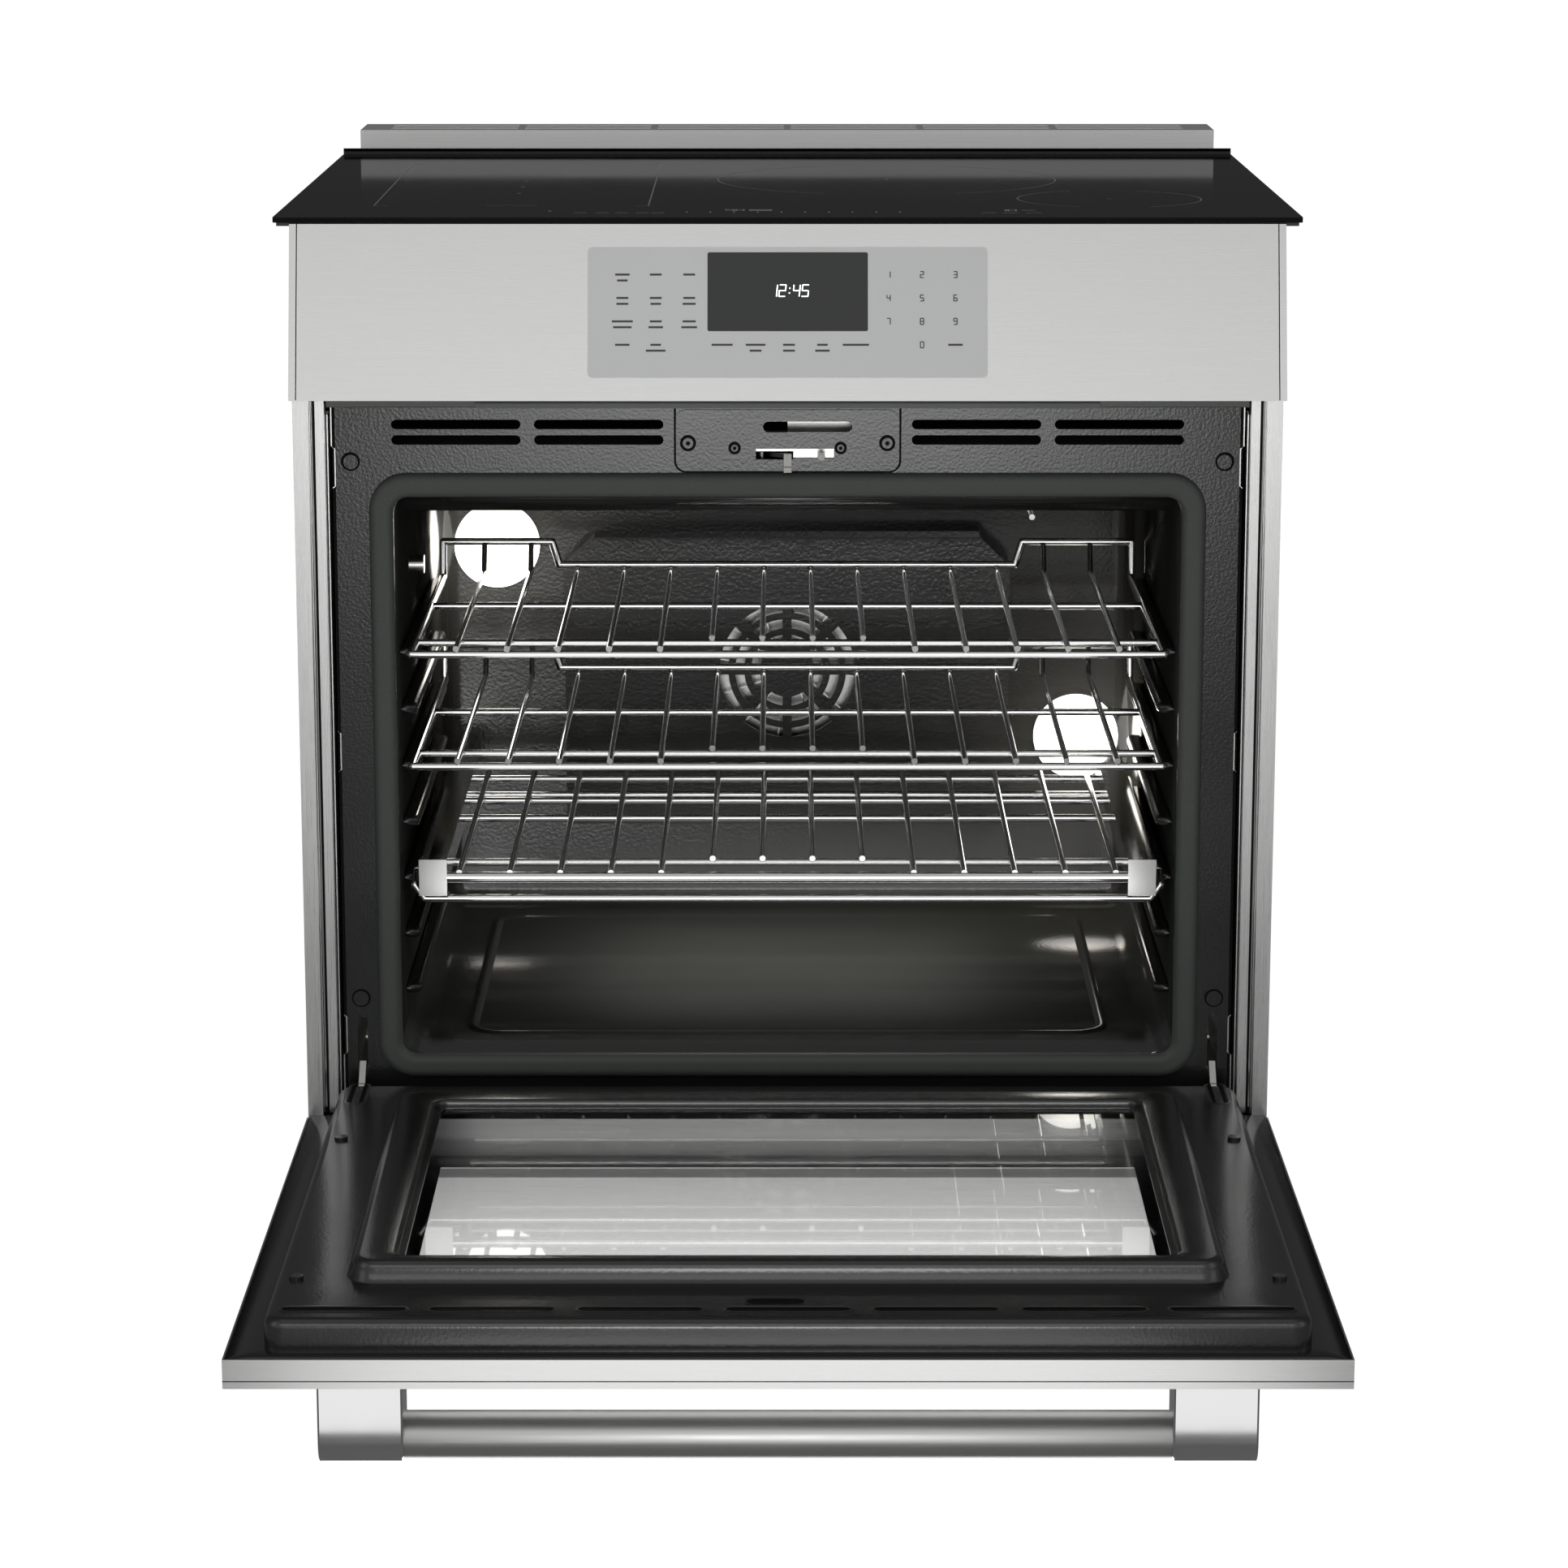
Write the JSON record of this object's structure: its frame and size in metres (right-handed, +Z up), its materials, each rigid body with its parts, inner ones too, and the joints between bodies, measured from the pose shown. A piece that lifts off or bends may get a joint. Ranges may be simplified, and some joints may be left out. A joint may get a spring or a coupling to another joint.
{
  "type": "slide-in induction range",
  "caption": "Slide-in range with a black induction glass top, sloping touch fascia, oven cavity with wire racks, drop-down windowed door with bar handle, and a warming drawer.",
  "frame": {"origin": "on the floor, at the middle of the footprint with the oven door open", "axes": "+Z up, -Y towards the front (the way the door opens), +X to the right seen from the front"},
  "size_m": [0.787, 1.257, 0.935],
  "materials": {
    "stainless": "brushed",
    "polished_steel": "polished",
    "chrome_wire": "bright plated",
    "black_enamel": "semi-gloss porcelain",
    "dark_sheet": "satin",
    "galvanised": "galvanised",
    "gasket_braid": "woven",
    "mineral_wool": "fibrous",
    "element_sheath": "oxidised",
    "lamp_glass": "frosted",
    "pane_glass": "clear",
    "ceramic_glass": "black gloss",
    "touch_film": "silver grey",
    "display_glass": "black gloss",
    "zinc": "zinc plated",
    "cast_alu": "cast",
    "circuit": "solder mask",
    "black_plastic": "matt",
    "copper_coil": "enamelled wire",
    "rubber_foot": "matt"
  },
  "bodies": {
    "body": {"base_frame": "galvanised", "leveling_legs": "rubber_foot", "side_panel_left": "dark_sheet", "side_panel_right": "dark_sheet", "back_panel": "galvanised", "kick_plate": "dark_sheet", "front_post_left": "stainless", "front_post_right": "stainless", "oven_front_frame": "black_enamel", "oven_liner": "black_enamel", "door_gasket": "gasket_braid", "insulation_jacket": "mineral_wool", "rack_guide_left": "black_enamel", "rack_guide_right": "black_enamel", "fan_baffle": "black_enamel", "convection_motor": "galvanised", "convection_element": "element_sheath", "broil_element": "element_sheath", "bake_element": "element_sheath", "lamp_lenses": "lamp_glass", "lamp_sockets": "cast_alu", "temperature_sensor": "zinc", "probe_jack": "zinc", "latch_plate": "black_enamel", "latch_motor": "galvanised", "hinge_arms": "zinc", "air_outlet_trim": "dark_sheet", "blower_housing": "galvanised", "fascia_panel": "stainless", "touch_panel": "touch_film", "display_window": "display_glass", "circuit_boards": "circuit", "terminal_block": "black_plastic", "cooktop_glass": "ceramic_glass", "cooktop_tray": "galvanised", "cooktop_rear_rail": "stainless", "induction_coils": "copper_coil", "backguard": "stainless", "glide_frame": "chrome_wire", "drawer_slides": "zinc", "frame_screws": "black_enamel"},
    "door": {"door_skin": "stainless", "door_glass_outer": "pane_glass", "door_glass_middle": "pane_glass", "door_glass_inner": "pane_glass", "door_inner_panel": "black_enamel", "door_hinges": "zinc", "door_screws": "black_enamel", "handle_bar": "stainless", "handle_brackets": "polished_steel"},
    "upper_rack": {"upper_rack": "chrome_wire"},
    "middle_rack": {"middle_rack": "chrome_wire"},
    "glide_rack": {"glide_rack": "chrome_wire"},
    "glide_runners": {"glide_runners": "zinc"},
    "drawer": {"drawer_front": "stainless", "drawer_box": "galvanised"},
    "fan": {"convection_fan": "zinc"},
    "blower": {"blower_wheel": "cast_alu"},
    "latch": {"latch_hook": "zinc"},
    "plunger": {"door_switch_plunger": "zinc"}
  },
  "joints": [
    {"name": "door_hinge", "type": "hinge", "parent": "body", "child": "door", "pos_m": [0, -0.0595, 0.201], "axis": [1, 0, 0], "range_deg": [-90, 0]},
    {"name": "upper_rack_slide", "type": "slide", "parent": "body", "child": "upper_rack", "axis": [0, -1, 0], "range_m": [0, 0.25]},
    {"name": "middle_rack_slide", "type": "slide", "parent": "body", "child": "middle_rack", "axis": [0, -1, 0], "range_m": [0, 0.25]},
    {"name": "glide_rack_slide", "type": "slide", "parent": "body", "child": "glide_rack", "axis": [0, -1, 0], "range_m": [0, 0.28]},
    {"name": "glide_runner_slide", "type": "slide", "parent": "body", "child": "glide_runners", "axis": [0, -1, 0], "range_m": [0, 0.14]},
    {"name": "drawer_slide", "type": "slide", "parent": "body", "child": "drawer", "axis": [0, -1, 0], "range_m": [0, 0.4]},
    {"name": "fan_spin", "type": "hinge", "parent": "body", "child": "fan", "pos_m": [0, 0.4635, 0.469], "axis": [0, 1, 0], "continuous": true},
    {"name": "blower_spin", "type": "hinge", "parent": "body", "child": "blower", "pos_m": [0, 0.0785, 0.807], "axis": [1, 0, 0], "continuous": true},
    {"name": "latch_hook_pivot", "type": "hinge", "parent": "body", "child": "latch", "pos_m": [-0.02, -0.0065, 0.7295], "axis": [0, 0, -1], "range_deg": [0, 12]},
    {"name": "door_switch_slide", "type": "slide", "parent": "body", "child": "plunger", "axis": [0, -1, 0], "range_m": [-0.006, 0]}
  ],
  "couplings": [
    {"joint": "glide_runner_slide", "follows": "glide_rack_slide", "ratio": 0.5},
    {"joint": "door_switch_slide", "follows": "door_hinge", "m_per_rad": 0.0035}
  ]
}
